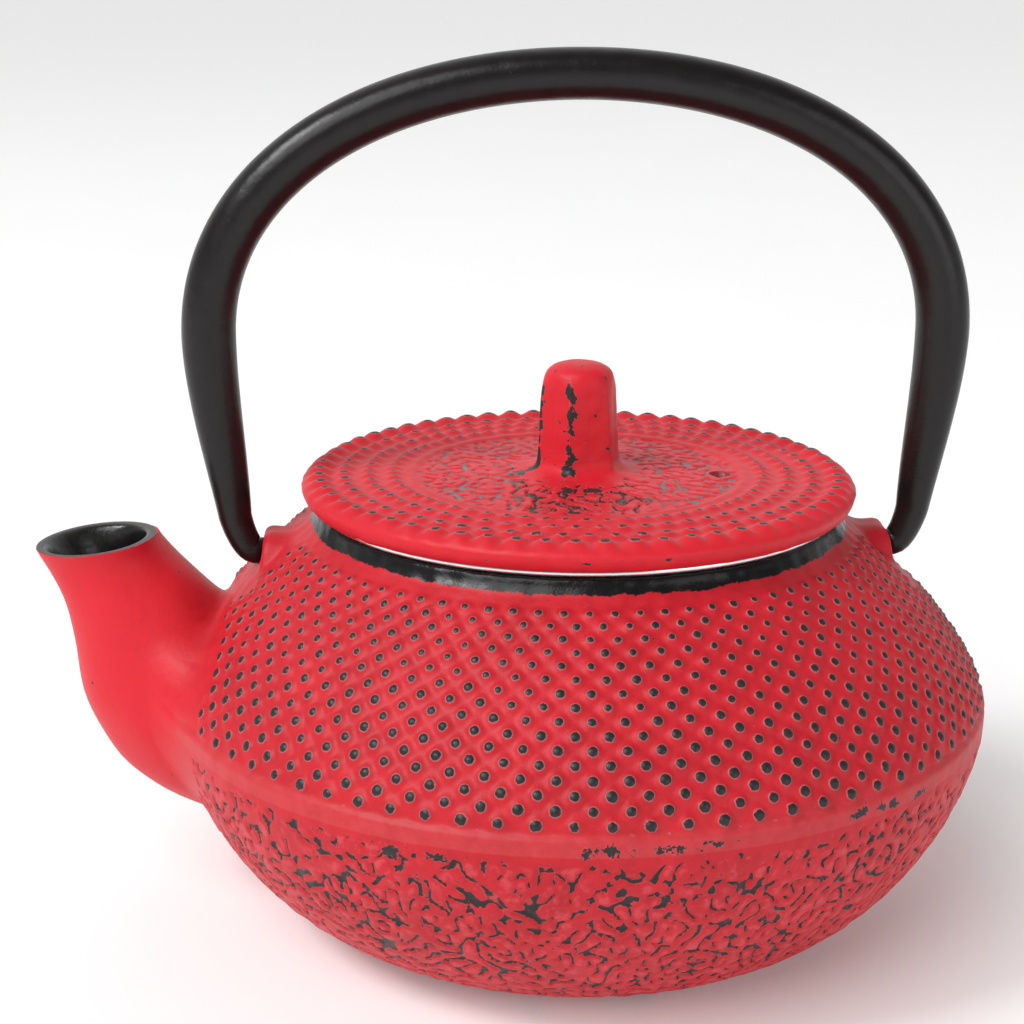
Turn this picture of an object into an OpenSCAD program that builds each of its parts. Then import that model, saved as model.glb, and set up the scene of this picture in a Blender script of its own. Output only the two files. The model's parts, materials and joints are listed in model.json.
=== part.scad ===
// Small cast iron teapot: a pot with a hollow spout and two lugs, a lift-off lid,
// a hinged bail and a stainless steel infuser that hangs in the mouth.
// Millimetres, +Z up. The origin is the centre of the flat base, the spout points
// along -X, and the bail turns about a line parallel to X through both lugs.

/* [Pot] */
// Widest radius of the pot, at the smooth band below the hobnails
pot_r = 60; // [58:0.5:62]
// Height of the lower edge of that band
band_z = 32; // [30:0.5:33]
// Height of the band
band_h = 2; // [1:0.5:3]
// Radius of the flat base that the pot stands on
base_r = 32; // [28:0.5:34]
// Height of the rim of the mouth
mouth_z = 60.4; // [59:0.1:61]
// Outer radius of the rim of the mouth
rim_r = 37.7; // [37.2:0.1:38]
// Radius of the mouth that the infuser drops into
mouth_r = 35; // [34.6:0.1:35.2]
// Thickness of the casting
wall = 3; // [2.6:0.1:3.4]

/* [Spout] */
// Distance of the centre of the spout's mouth from the pot's axis
spout_x = 70; // [68:0.5:72]
// Height of the centre of the spout's mouth
spout_z = 55.4; // [54:0.2:57]
// Outer radius of the spout's mouth
spout_r = 8.7; // [8:0.1:9.5]
// Width of the bare iron rim round the spout's mouth
spout_lip = 1.6; // [1.2:0.1:2]

/* [Lugs and bail pivots] */
// Distance of each lug's outer face from the pot's axis, at the pivot line
lug_x = 46.1; // [45.8:0.1:46.6]
// Width of a lug across the bail's plane
lug_w = 11; // [9:0.5:13]
// Height of the top of a lug
lug_top = 56.5; // [56.4:0.1:57.5]
// Height of the line that the bail turns about
pivot_z = 53.4; // [53.2:0.1:53.8]
// Radius of the bail's two pins
pin_r = 1.8; // [1.6:0.05:2]
// Running clearance between a pin and its hole, on the radius
pin_clear = 0.07; // [0.03:0.01:0.1]

/* [Bail] */
// Height of the bail's centre line at its top
bail_top = 121.4; // [120:0.2:128]
// Half the width of the bail's centre line where it is widest
bail_half_w = 52.7; // [52:0.1:54]
// Height at which the bail is widest
bail_wide_z = 85; // [82:0.5:90]
// Radius of the bail at its top
bail_r = 3.58; // [3.2:0.02:4]
// Radius of the bail at its shoulders
bail_shoulder_r = 3.85; // [3.4:0.05:4.2]
// Radius of the bail where an arm meets its elbow
bail_arm_r = 2.4; // [2.1:0.05:2.6]

/* [Lid] */
// Widest radius of the lid
lid_r = 40.2; // [39.5:0.1:41]
// Thickness of the lid at its edge
lid_t = 3.1; // [2.6:0.1:3.4]
// Radius of the rough disc in the middle of the lid
lid_disc_r = 23.6; // [20:0.2:26]
// Outer radius of the skirt that centres the lid in the infuser
skirt_r = 32.8; // [32:0.1:33.2]
// Depth of the skirt
skirt_h = 4; // [3:0.5:6]
// Height of the top of the knob
knob_top = 81; // [78:0.5:84]
// Radius of the knob's foot
knob_r = 6; // [5:0.1:7]
// Distance of the steam vent from the lid's axis
vent_x = 20.6; // [17:0.2:22]
// Radius of the steam vent
vent_r = 1.5; // [1:0.1:2]

/* [Infuser] */
// Outer radius of the infuser's collar
collar_r = 34.3; // [33.8:0.1:34.4]
// Height of the infuser's collar
collar_h = 7; // [5:0.5:9]
// Thickness of the infuser's steel sheet
sheet = 0.35; // [0.3:0.05:0.5]
// Radius of the rolled edge of the infuser's flange
roll_r = 0.55; // [0.45:0.01:0.6]
// Height of the infuser's underside
infuser_z = 26.5; // [26.5:0.5:32]
// Height of the band that holds the infuser's floor
foot_h = 3.5; // [2.5:0.5:5]

/* [Hidden] */
$fn = 96;

iron_red = "#d02833";
bail_black = "#1c1a1a";
steel = "#c8c8c6";

curve_steps = 9;      // straight steps in each stretch of a turned outline
band_top = band_z + band_h;
flange_z = mouth_z;   // the flange lies on the rim of the mouth
lid_z = mouth_z + 2 * roll_r + 0.02;
lid_top = lid_z + lid_t;
collar_in = collar_r - sheet;
mesh_t = 0.4;
floor_gap = 0.03;     // between the mesh floor's edge and the mesh wall
vent_turn = -6;

// A point on a cubic curve with four control points.
function cubic(p, t) =
    pow(1 - t, 3) * p[0] + 3 * pow(1 - t, 2) * t * p[1]
    + 3 * (1 - t) * t * t * p[2] + pow(t, 3) * p[3];

// The points of a cubic curve, without its first one.
function along(p, steps) = [for (i = [1:steps]) cubic(p, i / steps)];

// Outer outline of the pot, in two curves that meet at the band.
belly = [[base_r, 0], [base_r + 16.5, 0], [pot_r, band_z - 9.5], [pot_r, band_z]];
shoulder = [
    [pot_r, band_top], [pot_r - 0.8, band_top + 5.8],
    [rim_r + 9.8, mouth_z - 7.7], [rim_r + 0.9, mouth_z - 1]
];
// The hollow follows the outline, one wall thickness in.
belly_in = [
    [base_r - 1.5, wall], [base_r + 14.5, wall],
    [pot_r - wall, band_z - 8.5], [pot_r - wall, band_z + 1]
];
shoulder_in = [
    [pot_r - wall, band_z + 1], [pot_r - wall - 0.5, band_top + 5.3],
    [mouth_r + 9.6, mouth_z - 9.9], [mouth_r, mouth_z - 2.5]
];

module pot_outside() {
    rotate_extrude()
        polygon(concat(
            [[0, 0], belly[0]], along(belly, curve_steps),
            [shoulder[0]], along(shoulder, curve_steps),
            [[rim_r + 0.3, mouth_z - 0.5], [rim_r - 0.2, mouth_z], [0, mouth_z]]
        ));
}

module pot_hollow() {
    rotate_extrude()
        polygon(concat(
            [[0, wall], belly_in[0]], along(belly_in, curve_steps),
            along(shoulder_in, curve_steps),
            [[mouth_r, mouth_z + 1], [0, mouth_z + 1]]
        ));
}

// Stations along the spout: x, z, direction of the centre line and outer radius.
spout_path = [
    [-spout_x + 28.6, spout_z - 28.6, 153.8, 16.3],
    [-spout_x + 19.2, spout_z - 25.5, 148, 16.1],
    [-spout_x + 12.4, spout_z - 21.8, 139, 15],
    [-spout_x + 8, spout_z - 16.3, 123.5, 12.7],
    [-spout_x + 4.5, spout_z - 9.1, 122.2, 9.9],
    [-spout_x + 2, spout_z - 3.8, 115.8, spout_r - 0.4],
    [-spout_x, spout_z, 95, spout_r]
];

// A value between b and c on a smooth curve through a, b, c and d.
function between(a, b, c, d, t) =
    b + t / 2 * (c - a + t * (2 * a - 5 * b + 4 * c - d + t * (3 * (b - c) + d - a)));

function spout_station(u) =
    let (last = len(spout_path) - 1, i = min(floor(u), last - 1))
    between(
        spout_path[max(i - 1, 0)], spout_path[i],
        spout_path[i + 1], spout_path[min(i + 2, last)], u - i
    );

// A ring of points in the plane across a station, in the XZ frame.
function ring(s, sides, grow = 0, shift = 0) = [
    for (k = [0:sides - 1])
        let (
            turn = 360 * k / sides,
            side = (s[3] + grow) * cos(turn),
            depth = (s[3] + grow) * sin(turn)
        )
        [
            s[0] + shift * cos(s[2]) + side * sin(s[2]),
            depth,
            s[1] + shift * sin(s[2]) - side * cos(s[2])
        ]
];

// A closed solid through a list of rings that have the same number of points.
module sweep(rings) {
    sides = len(rings[0]);
    last = len(rings) - 1;
    polyhedron(
        points = [for (r = rings) each r],
        faces = concat(
            [[for (k = [0:sides - 1]) k]],
            [for (j = [0:last - 1], k = [0:sides - 1])
                let (a = j * sides + k, b = j * sides + (k + 1) % sides)
                each [[a, a + sides, b], [b, a + sides, b + sides]]],
            [[for (k = [sides - 1:-1:0]) last * sides + k]]
        )
    );
}

spout_sides = 28;
spout_steps = 18;
module spout_outside() {
    sweep([for (j = [0:spout_steps]) ring(spout_station(6 * j / spout_steps), spout_sides)]);
}

// The bore starts inside the hollow and runs out past the spout's mouth.
module spout_bore() {
    inner = wall - 0.1;
    sweep(concat(
        [ring(spout_station(0), spout_sides, -inner, -2)],
        [for (j = [1:spout_steps - 1])
            let (u = 6 * j / spout_steps, thin = max(u - 4, 0) / 2)
            ring(spout_station(u), spout_sides, -inner + thin * (inner - spout_lip))],
        [ring(spout_station(6), spout_sides, -spout_lip, 0),
         ring(spout_station(6), spout_sides, -spout_lip, 1.5)]
    ));
}

// One lug on the +X side: a tab that stands in the corner above the shoulder. Its outer
// face leans out towards the foot, and its top is rounded across and at the outer end.
lug_round = 2;
lug_crown = 4.2;
lug_lean = 0.12;
lug_foot_z = pivot_z - 6;
module lug() {
    start = mouth_r + 1;
    round_x = lug_x - lug_lean * (lug_top - lug_round - pivot_z) - lug_round;
    intersection() {
        translate([0, lug_w / 2, 0])
            rotate([90, 0, 0])
                linear_extrude(lug_w)
                    polygon(concat(
                        [[start, lug_foot_z], [lug_x + 6 * lug_lean, lug_foot_z]],
                        [for (a = [7:83 / 6:90])
                            [round_x + lug_round * cos(a), lug_top - lug_round * (1 - sin(a))]],
                        [[start, lug_top]]
                    ));
        rotate([90, 0, 90])
            linear_extrude(lug_x + 1)
                union() {
                    translate([-lug_w / 2, 0])
                        square([lug_w, lug_top - lug_crown]);
                    translate([lug_crown - lug_w / 2, 0])
                        square([lug_w - 2 * lug_crown, lug_top]);
                    for (s = [-1, 1])
                        translate([s * (lug_w / 2 - lug_crown), lug_top - lug_crown])
                            circle(lug_crown);
                }
        linear_extrude(lug_top + 1)
            union() {
                translate([mouth_r, -lug_w / 2])
                    square([lug_x - mouth_r - lug_round, lug_w]);
                translate([mouth_r, -lug_w / 2 + lug_round])
                    square([lug_x + 1 - mouth_r, lug_w - 2 * lug_round]);
                for (s = [-1, 1])
                    translate([lug_x - lug_round, s * (lug_w / 2 - lug_round)])
                        circle(lug_round);
            }
    }
}

pin_depth = 4.6;
pad_r = pin_r + 1.2;
module both_sides() {
    children();
    rotate([0, 0, 180]) children();
}

// A round bar along +X from x0 to x1 on the pivot line.
module pivot_bar(r, x0, x1) {
    translate([x0, 0, pivot_z])
        rotate([0, 90, 0])
            cylinder(r = r, h = x1 - x0);
}

module pot_body() {
    color(iron_red)
        difference() {
            union() {
                difference() {
                    union() {
                        pot_outside();
                        spout_outside();
                        both_sides() lug();
                    }
                    pot_hollow();
                    spout_bore();
                }
                both_sides() pivot_bar(pad_r, lug_x - pin_depth - 1.2, lug_x - 2);
            }
            both_sides() pivot_bar(pin_r + pin_clear, lug_x - pin_depth, lug_x + 1);
            both_sides() pivot_bar(pin_r + 2, lug_x, lug_x + 8);
        }
}

// The lid lies on the infuser's flange, and its skirt centres it in the collar.
module lid() {
    edge = 0.9;
    knob_foot = lid_top + 0.7;
    knob_round = 3.4;
    knob_neck = knob_r - 0.8;
    color(iron_red)
        difference() {
            union() {
                rotate_extrude()
                    union() {
                        polygon([
                            [0, lid_z], [lid_r - 1.2, lid_z], [lid_r - 0.35, lid_z + edge],
                            [lid_r, lid_z + 2 * edge], [lid_r - 0.3, lid_top - 0.4],
                            [lid_r - 1.2, lid_top + 0.1], [lid_r - 3, lid_top + 0.4],
                            [lid_disc_r, lid_top + 0.3], [lid_disc_r - 0.6, lid_top],
                            [knob_r + 4, knob_foot - 0.1], [knob_r + 1, knob_foot + 0.6],
                            [knob_r, knob_foot + 2.4],
                            [knob_neck, knob_top - knob_round], [0, knob_top - knob_round]
                        ]);
                        intersection() {
                            translate([0, knob_top - knob_neck])
                                circle(knob_neck);
                            translate([0, knob_top - knob_neck])
                                square(knob_neck);
                        }
                    }
                translate([0, 0, lid_z - skirt_h])
                    cylinder(r = skirt_r, h = skirt_h + 0.5);
            }
            translate([0, 0, lid_z - skirt_h - 1])
                cylinder(r = skirt_r - 2.4, h = skirt_h + 1);
            rotate([0, 0, vent_turn])
                translate([vent_x, 0, lid_z - 1])
                    cylinder(r = vent_r, h = lid_t + 3);
        }
}

// Half of the bail's centre line, from the middle of the arch to the end of an elbow.
arch = [[0, bail_top], [30, bail_top], [bail_half_w, bail_wide_z + 22], [bail_half_w, bail_wide_z]];
arm_low = pivot_z + 5.2;
arm = [
    [bail_half_w, bail_wide_z], [bail_half_w, bail_wide_z - 8],
    [lug_x + 4.6, arm_low + 8], [lug_x + 3.8, arm_low]
];
elbow = [
    [lug_x + 3.8, arm_low], [lug_x + 3.3, pivot_z + 3],
    [lug_x + 2.2, pivot_z + 0.1], [lug_x + 1, pivot_z]
];
arch_steps = 12;
arm_steps = 7;
elbow_steps = 5;
half_steps = arch_steps + arm_steps + elbow_steps;
elbow_r = pin_r + 0.25;

function bail_point(i) =
    i <= arch_steps ? cubic(arch, i / arch_steps)
    : i <= arch_steps + arm_steps ? cubic(arm, (i - arch_steps) / arm_steps)
    : cubic(elbow, (i - arch_steps - arm_steps) / elbow_steps);

function bail_radius(i) =
    i <= arch_steps ? bail_r + (bail_shoulder_r - bail_r) * i / arch_steps
    : i <= arch_steps + arm_steps
        ? bail_shoulder_r
            - (bail_shoulder_r - bail_arm_r) * pow((i - arch_steps) / arm_steps, 1.5)
    : bail_arm_r
        - (bail_arm_r - elbow_r) * (i - arch_steps - arm_steps) / elbow_steps;

// Direction of the centre line, from its neighbours on both sides.
function bail_heading(i) =
    let (
        a = i == 0 ? [-bail_point(1)[0], bail_point(1)[1]] : bail_point(i - 1),
        b = i == half_steps ? bail_point(i) + [-1, 0] : bail_point(i + 1),
        d = i == half_steps ? b - bail_point(i) : b - a
    )
    atan2(d[1], d[0]);

// Station i of the whole bail, where negative ones lie on the -X side.
function bail_station(i) =
    let (k = abs(i), p = bail_point(k), heading = bail_heading(k))
    i >= 0 ? [p[0], p[1], heading, bail_radius(k)]
    : [-p[0], p[1], -heading, bail_radius(k)];

module bail_handle() {
    color(bail_black)
        union() {
            sweep([for (i = [-half_steps:half_steps]) ring(bail_station(i), 16)]);
            both_sides() pivot_bar(pin_r, lug_x - pin_depth + 0.3, lug_x + 2);
        }
}

// The flange lies on the rim of the mouth and ends in a rolled edge.
module infuser_rim() {
    roll_x = rim_r - 0.1;
    color(steel)
        rotate_extrude()
            union() {
                translate([roll_x, flange_z + roll_r])
                    circle(roll_r, $fn = 32);
                translate([collar_in, flange_z])
                    square([roll_x - collar_in, sheet]);
                translate([collar_in, flange_z + sheet - collar_h])
                    square([sheet, collar_h]);
            }
}

module infuser_mesh_wall() {
    color(steel)
        translate([0, 0, infuser_z + sheet])
            difference() {
                cylinder(r = collar_in, h = flange_z - collar_h + 2 - infuser_z);
                translate([0, 0, -1])
                    cylinder(r = collar_in - mesh_t, h = flange_z);
            }
}

module infuser_mesh_floor() {
    color(steel)
        translate([0, 0, infuser_z + sheet])
            cylinder(r = collar_in - mesh_t - floor_gap, h = mesh_t);
}

// The band outside the mesh turns in under the floor and holds it.
module infuser_base_ring() {
    color(steel)
        rotate_extrude()
            union() {
                translate([collar_in, infuser_z])
                    square([sheet, foot_h]);
                translate([collar_in - 2.5, infuser_z])
                    square([2.5, sheet]);
            }
}

pot_body();
lid();
bail_handle();
infuser_rim();
infuser_mesh_wall();
infuser_mesh_floor();
infuser_base_ring();
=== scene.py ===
"""Looks for the cast iron teapot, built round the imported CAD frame. Metres, +Z up."""
import json
import math
import bpy
import numpy as np
from mathutils import Matrix, Vector


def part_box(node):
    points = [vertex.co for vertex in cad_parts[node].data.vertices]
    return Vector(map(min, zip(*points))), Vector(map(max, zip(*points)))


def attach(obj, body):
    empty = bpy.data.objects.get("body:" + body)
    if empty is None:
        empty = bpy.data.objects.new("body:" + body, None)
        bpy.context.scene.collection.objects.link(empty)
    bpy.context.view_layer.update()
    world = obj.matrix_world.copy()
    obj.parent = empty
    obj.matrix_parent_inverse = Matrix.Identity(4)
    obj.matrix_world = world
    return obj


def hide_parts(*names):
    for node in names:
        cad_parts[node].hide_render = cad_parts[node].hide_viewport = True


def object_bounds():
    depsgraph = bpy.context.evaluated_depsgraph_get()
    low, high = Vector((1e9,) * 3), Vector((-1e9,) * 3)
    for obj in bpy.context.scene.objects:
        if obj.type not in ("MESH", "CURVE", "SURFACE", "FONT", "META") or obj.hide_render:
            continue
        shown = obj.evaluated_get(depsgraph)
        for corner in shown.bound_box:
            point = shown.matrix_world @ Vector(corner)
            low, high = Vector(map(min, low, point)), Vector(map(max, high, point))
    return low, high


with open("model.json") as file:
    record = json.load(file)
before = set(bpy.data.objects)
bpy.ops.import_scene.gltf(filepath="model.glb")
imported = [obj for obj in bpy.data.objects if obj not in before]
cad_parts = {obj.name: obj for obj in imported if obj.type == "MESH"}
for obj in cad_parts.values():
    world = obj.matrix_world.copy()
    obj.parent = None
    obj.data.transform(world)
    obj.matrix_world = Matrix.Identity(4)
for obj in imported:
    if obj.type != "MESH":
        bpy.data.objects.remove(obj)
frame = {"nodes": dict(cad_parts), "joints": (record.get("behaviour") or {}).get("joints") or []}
START_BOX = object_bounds()
MM = 0.001
TAU = 2 * math.pi


# ---- sizes, in mm, from the frame
def box_mm(node):
    """The low and high corners of a CAD node, in mm."""
    lo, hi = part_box(node)
    return np.array(lo) / MM, np.array(hi) / MM


lid_lo, lid_hi = box_mm("lid")
net_lo, net_hi = box_mm("infuser_mesh_wall")
net_floor_lo, net_floor_hi = box_mm("infuser_mesh_floor")
PIVOT_Z = next(joint["pos_m"][2] for joint in frame["joints"] if joint["name"] == "bail_pivot") / MM
POT_R = 60.0
MOUTH_Z = box_mm("pot_body")[1][2]


# ---- curves and outlines
def curve(controls, count):
    """Points along the cubic curve of four control points."""
    p = np.asarray(controls, float)
    t = np.linspace(0, 1, count)[:, None]
    return (1 - t) ** 3 * p[0] + 3 * (1 - t) ** 2 * t * p[1] + 3 * (1 - t) * t * t * p[2] + t ** 3 * p[3]


def between(a, b, c, d, t):
    """The point t of the way from b to c, on a smooth curve through a, b, c and d."""
    return b + t / 2 * (c - a + t * (2 * a - 5 * b + 4 * c - d + t * (3 * (b - c) + d - a)))


def smooth(a, b, x):
    """0 at a and 1 at b, with soft ends. a may be above b."""
    t = np.clip((np.asarray(x, float) - a) / (b - a), 0, 1)
    return t * t * (3 - 2 * t)


def even_out(values, passes, middle=2):
    """Smooths a closed row of values or points."""
    for _ in range(passes):
        values = (np.roll(values, 1, 0) + middle * values + np.roll(values, -1, 0)) / (middle + 2)
    return values


def unit(v):
    return v / np.linalg.norm(v, axis=1)[:, None]


def wrap(a):
    return (np.asarray(a) + math.pi) % TAU - math.pi


def lengths(pts):
    return np.r_[0, np.cumsum(np.linalg.norm(np.diff(pts, axis=0), axis=1))]


def resample(pts, step):
    """The outline pts at even steps of about the given length."""
    s = lengths(pts)
    n = max(2, int(round(s[-1] / step)) + 1)
    at = np.linspace(0, s[-1], n)
    return np.stack([np.interp(at, s, pts[:, i]) for i in range(pts.shape[1])], 1)


class Outline:
    """A turned outline through stretches of (r, z) points, each with its own step."""

    def __init__(self, stretches):
        rows, names = [], []
        for name, pts, step in stretches:
            p = resample(np.asarray(pts, float), step)
            if rows:
                p = p[1:]
            rows += list(p)
            names += [name] * len(p)
        self.p = np.array(rows)
        self.name = np.array(names)
        self.s = lengths(self.p)
        d = np.gradient(self.p, axis=0)
        d /= np.linalg.norm(d, axis=1)[:, None] + 1e-12
        self.n = np.stack([d[:, 1], -d[:, 0]], 1)

    def sheet(self, theta):
        """Grids over the turned surface: radius, height, both parts of the normal, angle and place."""
        r, turn = np.meshgrid(self.p[:, 0], theta, indexing="ij")
        z, nr, nz = (np.repeat(a[:, None], len(theta), 1) for a in (self.p[:, 1], self.n[:, 0], self.n[:, 1]))
        return r, z, nr, nz, turn, np.stack([r * np.cos(turn), r * np.sin(turn), z], -1)


def raised(rest, nr, nz, turn, rise):
    """The places rest, moved out along their normals by rise."""
    return rest + np.stack([nr * np.cos(turn), nr * np.sin(turn), nz], -1) * rise[..., None]


# ---- wave fields, the same in mesh and shader
def wave_set(seed, count, wavelength):
    """Directions and phases of random waves of about one wavelength in mm."""
    rng = np.random.default_rng(seed)
    v = unit(rng.normal(size=(count, 3)))
    k = v * TAU / wavelength * rng.uniform(0.85, 1.15, count)[:, None]
    return k, rng.uniform(0, TAU, count)


WORM = wave_set(11, 14, 3.0)        # worms run where this field is near 0
BREAK = wave_set(23, 10, 1.9)       # and this one breaks them up
WORM_BREAK = 1.15
WORM_WIDEST = 0.46
BLOTCH = wave_set(5, 16, 5.5)
GRAIN = wave_set(3, 20, 3.2)


def field(waves, p):
    """The sum of the waves at each point of a grid."""
    k, phase = waves
    total = np.sin(p.reshape(-1, 3) @ k.T + phase).sum(1) * math.sqrt(2 / len(phase))
    return total.reshape(p.shape[:-1])


def worm_pit(width, rest, f):
    """How far each point is sunk into a worm, from 0 to 1. width is above 0 where worms may run."""
    worm = np.minimum(width + WORM_BREAK * field(BREAK, rest), WORM_WIDEST) - np.abs(f)
    return smooth(-0.45, 0.25, worm)


# ---- lattices of bumps
FAR = 99.0            # mm to a bump that isn't there
OFF_LATTICE = -9.0    # row number away from the bumps


def nearest_bump(u, row, radius, count, rows, pitch):
    """Distance in mm to the nearest bump of a staggered lattice, and that bump's row."""
    best, best_row = np.full(row.shape, FAR), np.zeros(row.shape)
    for step in (-1, 0, 1):
        k = np.round(row) + step
        across = u - 0.5 * np.mod(k, 2)
        across = (across - np.round(across)) * TAU * radius / count
        d = np.where((k >= 0) & (k <= rows - 1), np.hypot(across, (row - k) * pitch), FAR)
        best_row = np.where(d < best, k, best_row)
        best = np.minimum(best, d)
    return best, best_row


def lattice_uv(faces, u, row, count):
    """The lattice map at every face corner: x counts bumps round the axis, y counts their rows."""
    uv = []
    for face in faces:
        x = u[face]
        if x.max() - x.min() > count / 2:
            x = np.where(x < x.mean(), x + count, x)
        uv.append(np.stack([x, row[face]], 1))
    return np.vstack(uv)


# ---- mesh helpers
COAT_ZONE, RIM_ZONE, ENAMEL_ZONE = 0, 1, 2


def make_mesh(name, verts_mm, faces, attrs=None, uvs=None):
    """A smooth mesh object from points in mm. attrs are per vertex, uvs one value per corner."""
    me = bpy.data.meshes.new(name)
    me.from_pydata((np.asarray(verts_mm) * MM).tolist(), [], faces)
    me.update()
    for key, val in (attrs or {}).items():
        val = np.asarray(val, np.float32)
        kind, part = ("FLOAT_VECTOR", "vector") if val.ndim == 2 else ("FLOAT", "value")
        me.attributes.new(key, kind, "POINT").data.foreach_set(part, val.ravel())
    for key, val in (uvs or {}).items():
        layer = me.uv_layers.new(name=key)
        layer.data.foreach_set("uv", np.asarray(val, np.float32).ravel())
    me.polygons.foreach_set("use_smooth", np.ones(len(me.polygons), bool))
    ob = bpy.data.objects.new(name, me)
    bpy.context.scene.collection.objects.link(ob)
    return ob


def grid_faces(rows, cols):
    """Quads of a grid of rows by cols points that closes on itself along its columns."""
    i = np.arange(rows - 1)[:, None] * cols
    j = np.arange(cols)[None, :]
    jn = (j + 1) % cols
    return np.stack([i + j, i + jn, i + cols + jn, i + cols + j], -1).reshape(-1, 4)


def end_faces(rows, cols, start=0):
    """The first and last ring of a grid, each as one face."""
    last = start + (rows - 1) * cols
    return [list(range(start, start + cols))[::-1], list(range(last, last + cols))]


def rings_along(path, d, a, radii, sides):
    """Rings of points round a path, from its directions d and a sideways vector a at each point."""
    a = unit(a)
    b = np.cross(d, a)
    t = np.arange(sides) * TAU / sides
    ring = np.cos(t)[None, :, None] * a[:, None] + np.sin(t)[None, :, None] * b[:, None]
    return (path[:, None] + radii * ring).reshape(-1, 3)


def tube(path, radii, sides):
    """Points and faces of a closed round tube along a path in the XZ plane or near it."""
    path = np.asarray(path, float)
    up = np.array([0.0, 1.0, 0.0])
    d = unit(np.gradient(path, axis=0))
    a = up[None, :] - (d @ up)[:, None] * d
    pts = rings_along(path, d, a, np.asarray(radii, float)[:, None, None], sides)
    return pts, grid_faces(len(path), sides).tolist() + end_faces(len(path), sides)


def turned(name, pts, sides):
    """A closed solid turned from an outline that starts and ends on the axis."""
    pts = np.asarray(pts, float)
    body = pts[1:-1]
    t = np.arange(sides) * TAU / sides
    v = np.stack([body[:, 0:1] * np.cos(t), body[:, 0:1] * np.sin(t),
                  np.repeat(body[:, 1:2], sides, 1)], -1).reshape(-1, 3)
    n = len(v)
    v = np.vstack([v, [[0, 0, pts[0, 1]], [0, 0, pts[-1, 1]]]])
    faces = grid_faces(len(body), sides).tolist()
    last = (len(body) - 1) * sides
    for k in range(sides):
        kn = (k + 1) % sides
        faces.append([n, kn, k])
        faces.append([last + k, last + kn, n + 1])
    return make_mesh(name, v, faces)


def coords(me):
    co = np.zeros(len(me.vertices) * 3)
    me.vertices.foreach_get("co", co)
    return co.reshape(-1, 3)


def loop_data(me):
    """The vertex of every corner, and the first corner and corner count of every face."""
    corner = np.zeros(len(me.loops), np.int32)
    start = np.zeros(len(me.polygons), np.int32)
    total = np.zeros(len(me.polygons), np.int32)
    me.loops.foreach_get("vertex_index", corner)
    me.polygons.foreach_get("loop_start", start)
    me.polygons.foreach_get("loop_total", total)
    return corner, start, total


def fix_normals(ob):
    """Turns every face outward on a closed mesh."""
    co = coords(ob.data)
    corner, start, total = loop_data(ob.data)
    volume = 0.0
    for n in np.unique(total):
        s = start[total == n]
        a = co[corner[s]]
        for k in range(1, n - 1):
            volume += np.einsum("ij,ij->i", a, np.cross(co[corner[s + k]], co[corner[s + k + 1]])).sum()
    if volume < 0:
        ob.data.flip_normals()


def cut(target, tool, zone, how="DIFFERENCE"):
    """A boolean of target and tool, applied. The cut faces get the zone, and the tool is removed."""
    a = tool.data.attributes.new("zone", "FLOAT", "POINT")
    a.data.foreach_set("value", np.full(len(tool.data.vertices), zone, np.float32))
    for ob in (target, tool):
        fix_normals(ob)
    m = target.modifiers.new("cut", "BOOLEAN")
    m.operation = how
    m.solver = "MANIFOLD"
    m.object = tool
    bpy.context.view_layer.update()
    dg = bpy.context.evaluated_depsgraph_get()
    me = bpy.data.meshes.new_from_object(target.evaluated_get(dg), depsgraph=dg)
    target.modifiers.clear()
    old = target.data
    me.name = old.name + "_cut"
    target.data = me
    bpy.data.meshes.remove(old)
    bpy.data.objects.remove(tool)


# ==== the pot
FOOT_R = 32.0
BAND_LOW, BAND_TOP = 32.0, 34.0
WALL = 3.0
MOUTH_R = 35.0
NAILS = 80            # hobnails in one ring
NAIL_ROWS = 16
NAIL_FIRST = 1.79     # distance of the lowest row above the band, along the outline
NAIL_PITCH = 1.868
NAIL_TURN = 0.79      # where a hobnail of the lowest row stands, in pitches
NAIL_H = 0.75
WORM_DEPTH = 0.34
SPOUT_AZ = math.pi
UNWORN = -3.0         # wear is above 0 where the iron is bare

belly = curve([[FOOT_R, 0], [48.5, 0], [POT_R, 22.5], [POT_R, BAND_LOW]], 200)
shoulder = curve([[POT_R, BAND_TOP], [59.2, 39.8], [47.5, 52.7], [38.6, 59.4]], 200)
lip = [[38.6, 59.4], [38.3, 59.75], [38.05, 60.05], [37.8, 60.3], [37.5, 60.4]]
out = Outline([
    ("base", [[24, 0], [FOOT_R, 0]], 1.0),
    ("belly", belly, 0.47),
    ("band", [[POT_R, BAND_LOW], [POT_R, BAND_TOP]], 0.4),
    ("shoulder", shoulder, NAIL_PITCH / 5),
    ("lip", lip, 0.25),
])
COLS = NAILS * 10
ROWS = len(out.p)
t_rows = out.s - out.s[np.where(out.name == "band")[0][-1]]          # arc length above the band's top
R0, Z0, NR, NZ, TH, REST = out.sheet(np.arange(COLS) * TAU / COLS + math.pi * 0.5)
T = np.repeat(t_rows[:, None], COLS, 1)

# ---- spout stations, the same line as the CAD's: x, z, direction in degrees and radius
STATIONS = np.array([
    [-41.4, 26.8, 153.8, 16.3], [-50.8, 29.9, 148, 16.1], [-57.6, 33.6, 139, 15], [-62, 39.1, 123.5, 12.7],
    [-65.5, 46.3, 122.2, 9.9], [-68, 51.6, 115.8, 8.3], [-70, 55.4, 95, 8.7]], float)


def station(u):
    """The spout's line at u, where whole numbers are the stations."""
    u = np.atleast_1d(np.asarray(u, float))
    last = len(STATIONS) - 1
    i = np.minimum(np.floor(u).astype(int), last - 1)
    a, d = STATIONS[np.maximum(i - 1, 0)], STATIONS[np.minimum(i + 2, last)]
    return between(a, STATIONS[i], STATIONS[i + 1], d, (u - i)[:, None])


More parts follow.
